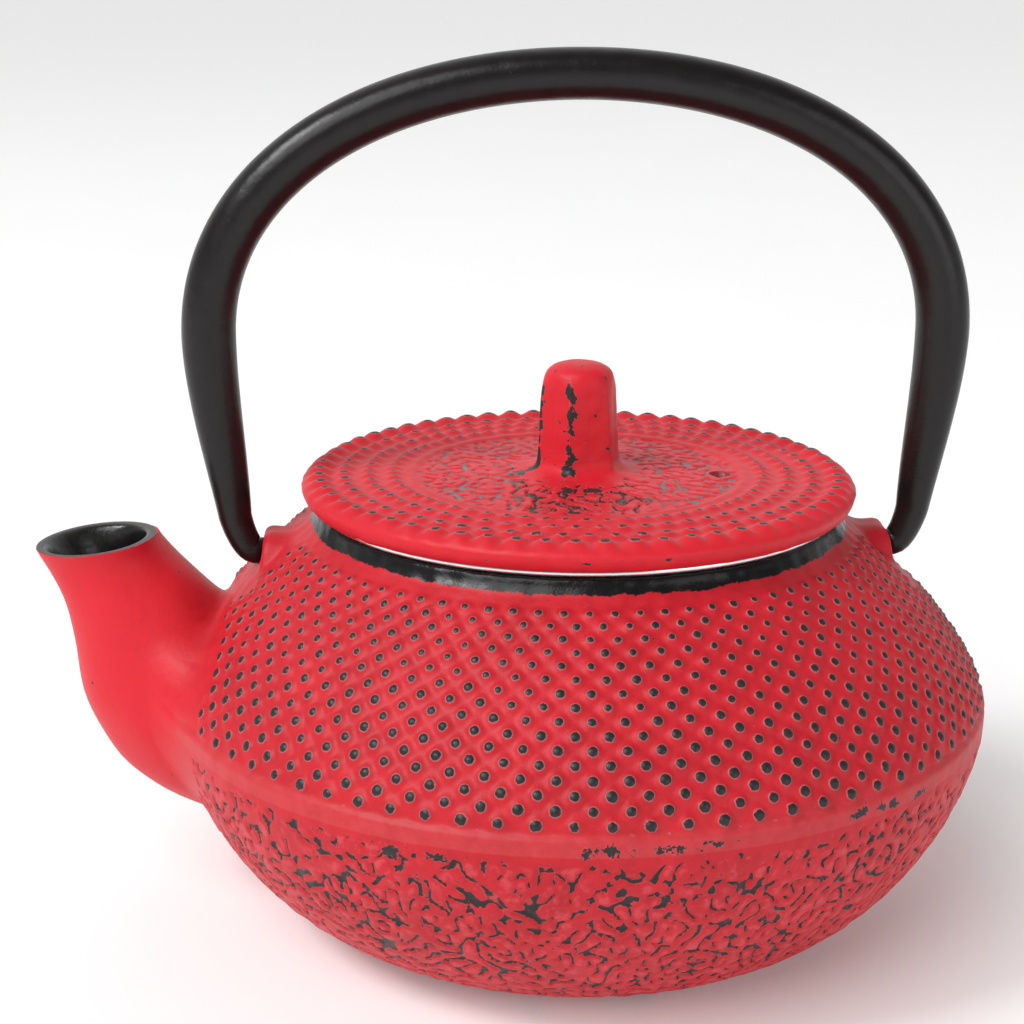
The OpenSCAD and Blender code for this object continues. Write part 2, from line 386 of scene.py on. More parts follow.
def tube_point(u, phi, grow=0.0):
    """A point of the spout's outer tube: phi 0 is its top side, 90 degrees its -Y side."""
    s = station(u)
    d = np.radians(s[:, 2])
    r = s[:, 3] + grow
    side = r * np.cos(phi)
    deep = -r * np.sin(phi)
    return np.stack([s[:, 0] + side * np.sin(d), deep, s[:, 1] - side * np.cos(d)], 1)


def inside_depth(p):
    """Above 0 inside the plain pot."""
    return np.interp(p[:, 2], out.p[:, 1], out.p[:, 0]) - np.hypot(p[:, 0], p[:, 1])


def to_map(p):
    """Pot map coordinates in mm: a is sideways round the pot from the spout, t up along the outline."""
    a = wrap(np.arctan2(p[:, 1], p[:, 0]) - SPOUT_AZ) * POT_R
    return np.stack([a, np.interp(p[:, 2], out.p[:, 1], t_rows)], 1)


# ---- where the tube leaves the pot, and the root loop a fillet's width outside it
SKIN = 0.6            # how far outside the pot the tube still counts as inside
PHI = np.linspace(0, TAU, 361)[:-1]
tries = np.linspace(0.0, 5.0, 401)
exit_u = np.array([tries[np.where(inside_depth(tube_point(tries, ph)) > -SKIN)[0][-1]] for ph in PHI])
fillet = 0.5 + 7.4 * np.abs(np.sin(PHI)) ** 5 + 0.5 * (np.cos(PHI) < 0) * np.cos(PHI) ** 2
loop = to_map(tube_point(exit_u, PHI))
centre = np.array([0.0, 0.5 * (loop[:, 1].max() + loop[:, 1].min())])
loop = even_out(loop + unit(loop - centre) * fillet[:, None], 12)
loop_ang = np.arctan2(loop[:, 0] - centre[0], loop[:, 1] - centre[1])
loop_rad = np.linalg.norm(loop - centre, axis=1)
order = np.argsort(loop_ang)
ANG = np.r_[loop_ang[order] - TAU, loop_ang[order], loop_ang[order] + TAU]
RAD = np.tile(loop_rad[order], 3)
PHI_AT = np.unwrap(np.tile(PHI[order], 3))

A_MAP = wrap(TH - SPOUT_AZ) * POT_R
away_ang = np.arctan2(A_MAP, T - centre[1])
away_rad = np.interp(away_ang, ANG, RAD)
ratio = np.hypot(A_MAP, T - centre[1]) / away_rad        # distance from the loop's centre over its radius
loop_gap = (ratio - 1) * away_rad

# ---- lugs, as a rise along the outline's normal
LUG_X, LUG_W, LUG_TOP, LUG_CROWN, LUG_LEAN = 46.1, 11.0, 56.5, 4.2, 0.12
LUG_ABOVE = 44.0      # the lugs only change the pot above this height
LUG_SOFT = 0.7        # how softly a lug's faces meet each other and the shoulder


def lug_rise(side):
    """The rise of one lug, and 1 near it where the hobnails stop."""
    x = side * R0 * np.cos(TH)
    from_middle = np.abs(R0 * np.sin(TH))
    nx = NR * side * np.cos(TH)
    to_face = (LUG_X + LUG_LEAN * (PIVOT_Z - Z0) - x) / np.maximum(nx + LUG_LEAN * NZ, 0.15)
    beyond = np.clip(from_middle - LUG_W / 2 + LUG_CROWN, 0, LUG_CROWN)
    crown = LUG_TOP - LUG_CROWN + np.sqrt(LUG_CROWN ** 2 - beyond ** 2)
    to_crown = (crown - Z0) / np.maximum(NZ, 0.15)
    h = np.minimum(to_face, to_crown) - LUG_SOFT * np.log1p(np.exp(-np.abs(to_face - to_crown) / LUG_SOFT))
    h = LUG_SOFT * np.log1p(np.exp(np.clip(h / LUG_SOFT, -30, 30)))
    wide = smooth(LUG_W / 2 + 1.9, LUG_W / 2 - 1.1, from_middle)
    near = (x > 0) & (Z0 > LUG_ABOVE)
    return np.where(near, h * wide, 0), np.where(near, smooth(LUG_W / 2 + 4, LUG_W / 2 + 1, from_middle), 0)


lug_rises, lug_nears = zip(lug_rise(1), lug_rise(-1))
rise = lug_rises[0] + lug_rises[1]
lug_near = np.maximum(*lug_nears) * smooth(15.5, 18.5, T)

# ---- hobnails, on a shoulder that is sunk between them
ROW = (T - NAIL_FIRST) / NAIL_PITCH
U = TH / TAU * NAILS - NAIL_TURN
nail_fade = smooth(-0.9, -0.4, ROW) * smooth(NAIL_ROWS - 0.3, NAIL_ROWS - 1.0, ROW)
nail_amp = nail_fade * smooth(0.2, 3.2, loop_gap) * (1 - lug_near)
near_nail = nearest_bump(U, ROW, R0, NAILS, NAIL_ROWS, NAIL_PITCH)[0]
nail = np.exp(-(near_nail / (0.98 * (0.88 + 0.22 * smooth(45, 60, R0)))) ** 1.7)
nail_h = NAIL_H * (0.8 + 0.2 * smooth(42, 58, R0))
drop = smooth(-0.3, 0.8, T) * smooth(t_rows[-1] - 0.4, t_rows[-1] - 3.0, T)
rise = rise - NAIL_H * 0.92 * drop * (1 - np.clip(rise / 1.5, 0, 1)) + nail_amp * nail_h * nail

# ---- worms on the belly: recesses along the lines where the field is near 0, fewer just under the band
f = field(WORM, REST)
g = field(BLOTCH, REST)
below = -(T + (BAND_TOP - BAND_LOW))                     # distance under the band's lower edge
in_worm = smooth(0.3, 1.6, below) * smooth(-0.5, 3.5, loop_gap)
worm_width = -0.15 + 0.62 * smooth(0.5, 9.0, below) + 0.15 * g - 3.8 * (1 - in_worm)
off_base = 1 - smooth(33.5, FOOT_R, R0) * (Z0 < 0.01)
rise = rise - WORM_DEPTH * worm_pit(worm_width, REST, f) * off_base
rise = rise - 0.035 * (1 + field(GRAIN, REST)) * off_base

# ---- wear, and the enamel's edge
WEAR_PEAK = 3.468
speck = field(wave_set(8, 24, 2.4), REST)
wear = np.full(T.shape, UNWORN)
# each worn spot: degrees round the pot, distance above the band's top, and its half sizes in mm
for az, t_mid, az_half, t_half in (
        (-92, -1.0, 3.4, 1.2), (-84, -1.3, 5.0, 1.0), (-78, -0.9, 3.0, 0.8), (-117.5, -3.9, 4.2, 1.7),
        (-112, -3.4, 2.6, 1.2), (-55, -1.2, 7.0, 1.1), (-48, -1.6, 4.0, 0.8), (20, -1.2, 5.0, 1.0),
        (75, -1.5, 6.0, 1.0), (131, -1.0, 4.0, 1.1)):
    d2 = (wrap(TH - math.radians(az)) * R0 / az_half) ** 2 + ((T - t_mid) / t_half) ** 2
    wear = np.maximum(wear, WEAR_PEAK * np.exp(-d2) + UNWORN + 0.75 * speck)
ENAMEL_DROP = 2.45    # the enamel comes this far down outside the mouth
enamel = (T - (t_rows[-1] - ENAMEL_DROP) + 0.10 * g + 0.05 * f) * 1.2

P = raised(REST, NR, NZ, TH, rise)
P[..., 2] = np.clip(P[..., 2], 0, MOUTH_Z)

# ---- take the spout's root out of the grid and snap the edge of the hole to the loop
quads = grid_faces(ROWS, COLS)
gone = ratio.ravel()[quads].mean(1) <= 1.0
edges = np.vstack([quads[gone][:, [k, (k + 1) % 4]] for k in range(4)])
have = set(map(tuple, edges.tolist()))
onward = {a: b for a, b in have if (b, a) not in have}
rim_ids = [next(iter(onward))]
while onward[rim_ids[-1]] != rim_ids[0]:
    rim_ids.append(onward[rim_ids[-1]])
rim_ids = np.array(rim_ids)
quads = quads[~gone]

ang_raw = np.unwrap(np.arctan2(A_MAP.ravel()[rim_ids], T.ravel()[rim_ids] - centre[1]))
turn = 1 if ang_raw[-1] > ang_raw[0] else -1
ang = np.maximum.accumulate(turn * ang_raw + 1e-5 * np.arange(len(ang_raw)))
gaps = even_out(np.diff(np.r_[ang, ang[0] + TAU]), 4)
ang = wrap(turn * (ang[0] + np.r_[0, np.cumsum(gaps)[:-1]]))
rim_rad = np.interp(ang, ANG, RAD)


def on_loop(share, lift):
    """Points of the pot's plain outline at a share of the loop's radius, lifted along the normal."""
    th = SPOUT_AZ + (centre[0] + share * rim_rad * np.sin(ang)) / POT_R
    t = centre[1] + share * rim_rad * np.cos(ang)
    r = np.interp(t, t_rows, out.p[:, 0]) + lift * np.interp(t, t_rows, out.n[:, 0])
    z = np.interp(t, t_rows, out.p[:, 1]) + lift * np.interp(t, t_rows, out.n[:, 1])
    return np.stack([r * np.cos(th), r * np.sin(th), z], -1)


P_flat = P.reshape(-1, 3)
rim_rise = rise.ravel()[rim_ids]
root = on_loop(1.0, rim_rise)
P_flat[rim_ids] = root
inward = unit(on_loop(0.97, rim_rise) - root)

phi = np.mod(np.interp(ang, ANG, PHI_AT), TAU)
u_exit = np.interp(phi, np.r_[PHI, TAU], np.r_[exit_u, exit_u[0]])
fillet_at = np.interp(phi, np.r_[PHI, TAU], np.r_[fillet, fillet[0]])
speed = np.linalg.norm(tube_point(u_exit + 0.05, phi) - tube_point(u_exit - 0.05, phi), axis=1) / 0.1
u_start = even_out(np.minimum(u_exit + 0.85 * fillet_at / speed, 4.2), 6, middle=1)
first = tube_point(u_start, phi)
along_tube = unit(tube_point(u_start + 0.04, phi) - tube_point(u_start - 0.04, phi))
reach = np.linalg.norm(first - root, axis=1)[:, None]

# ---- the spout's rings: fillet, tube, rim and bore
FILLET_ROWS, TUBE_ROWS, BORE_ROWS = 12, 30, 18
TUBE_END, RIM_END, BORE_LONG = 5.96, 5.7, 5.3
rings = []
for k in range(1, FILLET_ROWS + 1):
    t = k / FILLET_ROWS
    h00, h10 = 2 * t ** 3 - 3 * t ** 2 + 1, t ** 3 - 2 * t ** 2 + t
    h01, h11 = -2 * t ** 3 + 3 * t ** 2, t ** 3 - t ** 2
    rings.append(h00 * root + h10 * reach * inward + h01 * first + h11 * reach * along_tube)
for k in range(1, TUBE_ROWS + 1):
    rings.append(tube_point(u_start + (TUBE_END - u_start) * k / TUBE_ROWS, phi))
outer = len(rings)
rim_and_bore = [      # each ring's place along the spout, growth and zone
    (5.99, -0.07, 0.6), (6.0, -0.25, RIM_ZONE), (6.0, -0.5, RIM_ZONE), (5.995, -0.75, RIM_ZONE),
    (5.97, -1.05, ENAMEL_ZONE), (5.91, -1.35, ENAMEL_ZONE), (5.82, -1.58, ENAMEL_ZONE),
    (RIM_END, -1.72, ENAMEL_ZONE)]
for k in range(1, BORE_ROWS + 1):
    u = RIM_END - BORE_LONG * k / BORE_ROWS
    rim_and_bore.append((u, -2.9 + 1.3 * max(u - 4, 0) / 2, ENAMEL_ZONE))
rings += [tube_point(np.full(len(phi), u), phi, grow) for u, grow, _ in rim_and_bore]
zones = [COAT_ZONE] * outer + [zone for _, _, zone in rim_and_bore]

# ---- faint waves of the casting over the outside of the spout
flow = np.array(rings)
lump = field(wave_set(21, 18, 9.0), flow[:outer])
for k in range(outer - 1):
    fade = smooth(0, 6, k) * smooth(outer, outer - 5, k)
    flow[k] = flow[k] - unit(flow[k] - flow[k].mean(0)) * (0.09 * fade * (1 + lump[k]))[:, None]

flow_flat = flow.reshape(-1, 3)
ids = np.vstack([rim_ids, len(P_flat) + np.arange(len(flow_flat)).reshape(len(flow), -1)])
onto = np.roll(ids, -1, 1)
spout_quads = np.stack([ids[:-1], onto[:-1], onto[1:], ids[1:]], -1).reshape(-1, 4)
verts = np.vstack([P_flat, flow_flat])
faces = quads.tolist() + spout_quads.tolist() + [ids[-1].tolist()] + end_faces(ROWS, COLS)[::-1]

used = np.zeros(len(verts), bool)
for face in faces:
    used[face] = True


def with_spout(grid, value):
    """A grid's values and one value for every vertex of the spout, at the vertices in use."""
    return np.r_[grid.ravel(), np.full(len(flow_flat), value)][used]


renumber = np.cumsum(used) - 1
faces = [renumber[face].tolist() for face in faces]
pot = make_mesh("pot_casting", verts[used], faces, {
    "rest": np.vstack([REST.reshape(-1, 3), flow_flat])[used],
    "ink": with_spout(wear, UNWORN),
    "nail": with_spout(nail_amp, 0),
    "enamel": with_spout(enamel, UNWORN),
    "worm": with_spout(worm_width, UNWORN),
    "zone": np.r_[np.full(len(P_flat), COAT_ZONE), np.repeat(zones, len(rim_ids))][used],
}, {"lattice": lattice_uv(faces, with_spout(U, 0), with_spout(ROW, OFF_LATTICE), NAILS)})

# ---- hollow, pin pads and pin holes
belly_in = curve([[30.5, WALL], [46.5, WALL], [POT_R - WALL, 23.5], [POT_R - WALL, 33]], 22)
shoulder_in = curve([[POT_R - WALL, 33], [56.5, 39.3], [44.6, 50.5], [MOUTH_R, 57.9]], 18)[1:]
mouth_in = [[MOUTH_R, 59.9], [35.25, 60.32], [35.5, 61.7], [0, 61.7]]
hollow = np.vstack([[[0, WALL]], belly_in, shoulder_in, mouth_in])
cut(pot, turned("hollow_tool", hollow, 240), ENAMEL_ZONE)

PIN_R, PIN_CLEAR, PIN_DEPTH = 1.8, 0.07, 4.6


def rod(name, radius, x0, x1):
    """A closed round rod along X on the pivot line."""
    xs = [x0, x0 + 0.01 * (x1 - x0), x1 - 0.01 * (x1 - x0), x1]
    return make_mesh(name, *tube([[x, 0, PIVOT_Z] for x in xs], [radius] * 4, 48))


for side in (-1, 1):
    a, b = sorted((side * (LUG_X - PIN_DEPTH - 1.2), side * (LUG_X - 2.2)))
    cut(pot, rod("pad_tool", PIN_R + 1.2, a, b), ENAMEL_ZONE, "UNION")
    a, b = sorted((side * (LUG_X - PIN_DEPTH), side * (LUG_X + 1.2)))
    cut(pot, rod("hole_tool", PIN_R + PIN_CLEAR, a, b), ENAMEL_ZONE)

# ==== the lid
BEADS = 62            # bumps in one ring of the lid
BEAD_RINGS = 4
BEAD_IN = 26.9        # radius of the inner ring of bumps
BEAD_PITCH = 3.55
BEAD_WIDE = [0.95, 1.0, 1.08, 1.5]          # from the inner ring to the outer
BEAD_HIGH = [0.36, 0.45, 0.5, 0.85]
LID_COLS = BEADS * 10
KNOB_TOP = lid_hi[2]
LID_Z = KNOB_TOP - 19.48                    # underside of the lid
LID_THICK = 3.1
LID_TOP = LID_Z + LID_THICK
LID_R = 40.18
KNOB_R = 6.35
DISC_R, RINGS_R, EDGE_R, UNDER_R = 23.1, 24.3, 38.5, 39.2
SKIRT_R, SKIRT_IN = 32.8, 30.4
KNOB_TURN = math.radians(-107)              # one edge of the six-sided knob

knob_line = np.array([
    [0, KNOB_TOP], [2.0, KNOB_TOP - 0.06], [3.6, KNOB_TOP - 0.5], [4.75, KNOB_TOP - 1.4],
    [5.42, KNOB_TOP - 3.0], [5.75, KNOB_TOP - 5], [5.98, KNOB_TOP - 9], [6.14, KNOB_TOP - 12.5],
    [KNOB_R, LID_TOP + 2.2]])
knob = []
for i in range(len(knob_line) - 1):
    ends = [knob_line[min(max(i + k, 0), len(knob_line) - 1)] for k in (-1, 0, 1, 2)]
    knob += [between(*ends, t) for t in np.linspace(0, 1, 12)[:-1]]


def lid_curve(controls, count):
    """A curve whose heights are measured from the lid's top."""
    return curve([[r, LID_TOP + z] for r, z in controls], count)


skirt_low = lid_lo[2]
lid_line = Outline([
    ("knob", knob[1:], 0.5),
    ("foot", lid_curve([[KNOB_R, 2.2], [6.45, 0.9], [7.6, 0.5], [10.4, 0.38]], 30), 0.4),
    ("disc", lid_curve([[10.4, 0.38], [15, 0.25], [19, -0.05], [DISC_R, -0.1]], 20), 0.4),
    ("step", lid_curve([[DISC_R, -0.1], [23.5, -0.1], [23.7, 0.18], [RINGS_R, 0.2]], 10), 0.3),
    ("rings", lid_curve([[RINGS_R, 0.2], [29, 0.2], [34, 0.15], [EDGE_R, -0.05]], 20), 0.34),
    ("edge", lid_curve([[EDGE_R, -0.05], [39.4, -0.15], [40.05, -0.5], [LID_R, -1.15]], 20), 0.3),
    ("side", lid_curve([[LID_R, -1.15], [40.1, -1.9], [39.75, -2.75], [UNDER_R, -LID_THICK]], 20), 0.3),
    ("under", [[UNDER_R, LID_Z], [SKIRT_R + 0.3, LID_Z]], 1.3),
    ("skirt", [[SKIRT_R + 0.3, LID_Z], [SKIRT_R, LID_Z - 0.3], [SKIRT_R, skirt_low + 0.4],
               [SKIRT_R - 0.4, skirt_low], [SKIRT_IN + 0.4, skirt_low], [SKIRT_IN, skirt_low + 0.4],
               [SKIRT_IN, LID_Z]], 0.6),
    ("inner", [[SKIRT_IN, LID_Z], [2.0, LID_Z]], 2.2),
])
lid_line.n *= -1      # the outline runs from the top down, so its normals are turned outward here
LR, LZ, LNR, LNZ, LT, L_REST = lid_line.sheet(np.arange(LID_COLS) * TAU / LID_COLS)
part = np.repeat(lid_line.name[:, None], LID_COLS, 1)
top_side = np.isin(part, ["step", "rings", "edge"])
under = np.isin(part, ["under", "skirt", "inner"]).astype(float)

# ---- the knob's six sides, softened at its top and foot
six = np.abs(wrap(6 * (LT - KNOB_TURN))) / math.pi
facet = -0.115 * (1 - (1 - six) ** 1.5)
on_knob = smooth(KNOB_TOP - 0.6, KNOB_TOP - 5, LZ) * smooth(LID_TOP + 0.6, LID_TOP + 2.4, LZ)
on_knob = np.isin(part, ["knob", "foot"]) * on_knob
l_rise = LR * facet * on_knob

# ---- bumps, and shallow grooves between their rings
LROW = (LR - BEAD_IN) / BEAD_PITCH
LU = LT / TAU * BEADS
near_bead, bead_ring = nearest_bump(LU, LROW, LR, BEADS, BEAD_RINGS, BEAD_PITCH)
bead_ring = np.clip(bead_ring, 0, BEAD_RINGS - 1).astype(int)
bead = np.choose(bead_ring, BEAD_HIGH) * np.exp(-(near_bead / np.choose(bead_ring, BEAD_WIDE)) ** 2.6)
groove = -0.16 * np.abs(np.sin(math.pi * LROW)) ** 2 * smooth(23.9, 25.5, LR) * smooth(38.6, 37.6, LR)
l_rise = l_rise + np.where(top_side, bead, 0)
l_rise = l_rise + np.where(top_side, groove, 0)

# ---- worms in the disc, and the grain of the casting
lf = field(WORM, L_REST)
in_disc = np.isin(part, ["disc", "foot"]) * smooth(7.6, 10.5, LR) * smooth(23.6, 22.9, LR)
l_width = 0.65 + 0.12 * field(BLOTCH, L_REST) - 4.2 * (1 - in_disc)
l_rise = l_rise - 0.3 * worm_pit(l_width, L_REST, lf) * in_disc
l_rise = l_rise - 0.03 * (1 + field(GRAIN, L_REST)) * (1 - under)

# ---- wear on the knob's edges, on the disc and on the lid's rim
l_speck = field(wave_set(8, 24, 1.6), L_REST)
l_wear = np.full(LR.shape, UNWORN)


def worn(parts, wear_there):
    """The lid's wear with more added on the named stretches of its outline."""
    return np.maximum(l_wear, np.where(np.isin(part, parts), wear_there, UNWORN))


def across(az):
    """Distance in mm round the lid from an angle in degrees."""
    return wrap(LT - math.radians(az)) * LR


# the knob: degrees, heights it runs between, half width and strength
for az, z0, z1, half, lift in (
        (-107, LID_TOP + 0.5, KNOB_TOP - 2.6, 1.15, 3.4), (-167, LID_TOP - 0.2, KNOB_TOP - 3.2, 0.95, 5.0),
        (73, LID_TOP + 1, KNOB_TOP - 4, 0.6, 3.2), (133, LID_TOP + 1, KNOB_TOP - 6, 0.5, 3.0)):
    band = smooth(z0 - 0.4, z0 + 0.6, LZ) * smooth(z1 + 0.8, z1 - 0.8, LZ)
    l_wear = worn(["knob", "foot"], lift * np.exp(-(across(az) / half) ** 2) * band - 3.0 + 1.3 * l_speck)
# the disc: degrees, radius, half width and strength
for az, r_mid, half, lift in ((-95, 12.0, 7.0, 3.2), (-100, 19, 9.0, 2.9), (-75, 17.5, 7.0, 2.8)):
    d2 = -(across(az) / half) ** 2 - ((LR - r_mid) / 3.2) ** 2
    l_wear = worn(["disc"], lift * np.exp(d2) - 3.2 + 0.9 * lf)
# the rim: degrees, height above the lid's top, half width and half height
for az, dz, half, high in ((-94.5, -1.75, 1.5, 0.33), (-79, -1.5, 0.7, 0.3), (-120, -1.4, 0.5, 0.25),
                           (40, -1.5, 1.2, 0.3), (100, -1.6, 1.6, 0.3), (170, -1.4, 1.0, 0.3)):
    d2 = -(across(az) / half) ** 2 - ((LZ - LID_TOP - dz) / high) ** 2
    l_wear = worn(["side", "edge"], 3.6 * np.exp(d2) - 2.9 + 0.5 * l_speck)

LP = raised(L_REST, LNR, LNZ, LT, l_rise)
LP[..., 2] = np.minimum(LP[..., 2], KNOB_TOP)
LP[..., :2] *= np.minimum(1, LID_R / np.maximum(np.hypot(LP[..., 0], LP[..., 1]), 1e-6))[..., None]
l_rows = len(lid_line.p)
knob_tip = [[0, 0, KNOB_TOP]]
lid_faces = grid_faces(l_rows, LID_COLS)[:, ::-1].tolist()
lid_faces.append(end_faces(l_rows, LID_COLS)[1][::-1])
lid_faces += [[l_rows * LID_COLS, k, (k + 1) % LID_COLS] for k in range(LID_COLS)]


def with_tip(grid, value):
    """A grid's values and one value for the vertex at the knob's tip."""
    return np.r_[grid.ravel(), value]


lid_row = with_tip(np.where(top_side, LROW, OFF_LATTICE), OFF_LATTICE)
lid = make_mesh("lid_casting", np.vstack([LP.reshape(-1, 3), knob_tip]), lid_faces, {
    "rest": np.vstack([L_REST.reshape(-1, 3), knob_tip]),
    "ink": with_tip(l_wear, UNWORN),
    "worm": with_tip(l_width, UNWORN),
    "nail": with_tip(top_side.astype(float), 0),
    "enamel": with_tip(np.where(under > 0, -UNWORN, UNWORN), UNWORN),
    "zone": with_tip(under * ENAMEL_ZONE, COAT_ZONE),
}, {"lattice": lattice_uv(lid_faces, with_tip(LU, 0), lid_row, BEADS)})
VENT_AT, VENT_R, VENT_TURN = 20.6, 1.5, math.radians(-6)
vent_x, vent_y = VENT_AT * math.cos(VENT_TURN), VENT_AT * math.sin(VENT_TURN)
vent = tube([[vent_x, vent_y, z] for z in (LID_Z - 1, LID_Z, LID_TOP, LID_TOP + 2)], [VENT_R] * 4, 40)
cut(lid, make_mesh("vent_tool", *vent), COAT_ZONE)

# ==== the bail
BAIL_TOP, HALF_W, WIDE_Z = 121.4, 52.7, 85.0
ARM_LOW = PIVOT_Z + 5.2
ARM_X = LUG_X + 3.8
TUBE_R, WIDE_R, ARM_R, ELBOW_R = 3.58, 3.85, 2.4, 2.05       # from the top of the hoop to its ends
arch = curve([[0, BAIL_TOP], [30, BAIL_TOP], [HALF_W, WIDE_Z + 22], [HALF_W, WIDE_Z]], 120)
arm = curve([[HALF_W, WIDE_Z], [HALF_W, WIDE_Z - 8], [LUG_X + 4.6, ARM_LOW + 8], [ARM_X, ARM_LOW]], 60)[1:]
elbow = curve([[ARM_X, ARM_LOW], [LUG_X + 3.3, PIVOT_Z + 3], [LUG_X + 2.2, PIVOT_Z + 0.1],
               [LUG_X + 1, PIVOT_Z]], 40)
half = np.vstack([arch, arm, elbow[1:]])
s_half = lengths(half)
s_arch, s_arm = s_half[len(arch) - 1], s_half[len(arch) + len(arm) - 1]


def bail_radius(s):
    """The hoop's radius at a length s from its top."""
    on_arch = TUBE_R + (WIDE_R - TUBE_R) * np.clip(s / s_arch, 0, 1)
    on_arm = WIDE_R - (WIDE_R - ARM_R) * np.clip((s - s_arch) / (s_arm - s_arch), 0, 1) ** 1.5
    on_elbow = ARM_R - (ARM_R - ELBOW_R) * np.clip((s - s_arm) / (s_half[-1] - s_arm), 0, 1)
    return np.where(s > s_arm, on_elbow, np.where(s > s_arch, on_arm, on_arch))


PIN_END = LUG_X - PIN_DEPTH + 0.3
even = np.linspace(0, s_half[-1], 190)
pin_x = [LUG_X + 0.45, LUG_X + 0.3, LUG_X - 1.5, PIN_END + 0.25, PIN_END]
hoop_x = np.r_[np.interp(even, s_half, half[:, 0]), pin_x]
hoop_z = np.r_[np.interp(even, s_half, half[:, 1]), [PIVOT_Z] * 5]
hoop_r = np.r_[bail_radius(even), 2.0, PIN_R, PIN_R, PIN_R, PIN_R - 0.3]
right_half = np.stack([hoop_x, 0 * hoop_x, hoop_z], 1)
hoop = np.vstack([right_half[::-1] * (-1, 1, 1), right_half[1:]])
bail = make_mesh("bail_hoop", *tube(hoop, np.r_[hoop_r[::-1], hoop_r[1:]], 40))

# ==== the infuser's woven mesh
WIRE = 0.1            # radius of a wire
WEAVE = 0.085         # how far the wires swing over and under each other
NET_R = net_hi[0] - 0.2
NET_COLS, NET_ROWS, FLOOR_COUNT = 176, 24, 54
SHORTEST_WIRE = 6.0


def wires(paths, closed, sides=4):
    """Points and faces of thin square wires along a list of paths."""
    pts, faces, start = [], [], 0
    for path in paths:
        n = len(path)
        d = unit(np.roll(path, -1, 0) - np.roll(path, 1, 0) if closed else np.gradient(path, axis=0))
        steep = np.abs(d[:, 2:3]) > 0.8
        aside = np.cross(d, np.where(steep, [[1.0, 0.3, 0]], [[0, 0, 1.0]]))
        pts.append(rings_along(path, d, aside, WIRE, sides))
        quads = grid_faces(n + closed, sides) % (n * sides)
        faces += (quads + start).tolist()
        if not closed:
            faces += end_faces(n, sides, start)
        start += n * sides
    return np.vstack(pts), faces


net_z0, net_z1 = net_lo[2] + WIRE, net_hi[2] - WIRE
upright_z = np.linspace(net_z0, net_z1, NET_ROWS * 2 + 1)
upright_row = (upright_z - net_z0) / (net_z1 - net_z0) * (NET_ROWS - 1)
uprights = []
for c in range(NET_COLS):
    th = c * TAU / NET_COLS
    r = NET_R + WEAVE * np.cos(math.pi * (upright_row + c))
    uprights.append(np.stack([r * math.cos(th), r * math.sin(th), upright_z], 1))
th = np.arange(NET_COLS * 2) * TAU / (NET_COLS * 2)
hoops = []
for c in range(NET_ROWS):
    z = net_z0 + (net_z1 - net_z0) * c / (NET_ROWS - 1)
    r = NET_R - WEAVE * np.cos(math.pi * (c + th * NET_COLS / TAU))
    hoops.append(np.stack([r * np.cos(th), r * np.sin(th), np.full(len(th), z)], 1))
upright_pts, upright_faces = wires(uprights, False)
hoop_pts, hoop_faces = wires(hoops, True)
hoop_faces = [[k + len(upright_pts) for k in face] for face in hoop_faces]
net = make_mesh("infuser_net_wall", np.vstack([upright_pts, hoop_pts]), upright_faces + hoop_faces)

floor_r = net_floor_hi[0] - WIRE
floor_z = 0.5 * (net_floor_lo[2] + net_floor_hi[2])
floor_wires = []
for along_x in (True, False):
    for c in range(1, FLOOR_COUNT):
        off = -floor_r + 2 * floor_r * c / FLOOR_COUNT
        run = math.sqrt(max(floor_r ** 2 - off ** 2, 0))
        if run < SHORTEST_WIRE / 2:
            continue
        w = np.linspace(-run, run, max(8, int(FLOOR_COUNT * 2 * run / floor_r)))
        cell = (w + floor_r) / (2 * floor_r) * FLOOR_COUNT
        z = floor_z + (-1 if along_x else 1) * WEAVE * np.cos(math.pi * (cell + c))
        aside = np.full(len(w), off)
        floor_wires.append(np.stack([w, aside, z] if along_x else [aside, w, z], 1))
net_floor = make_mesh("infuser_net_floor", *wires(floor_wires, False))


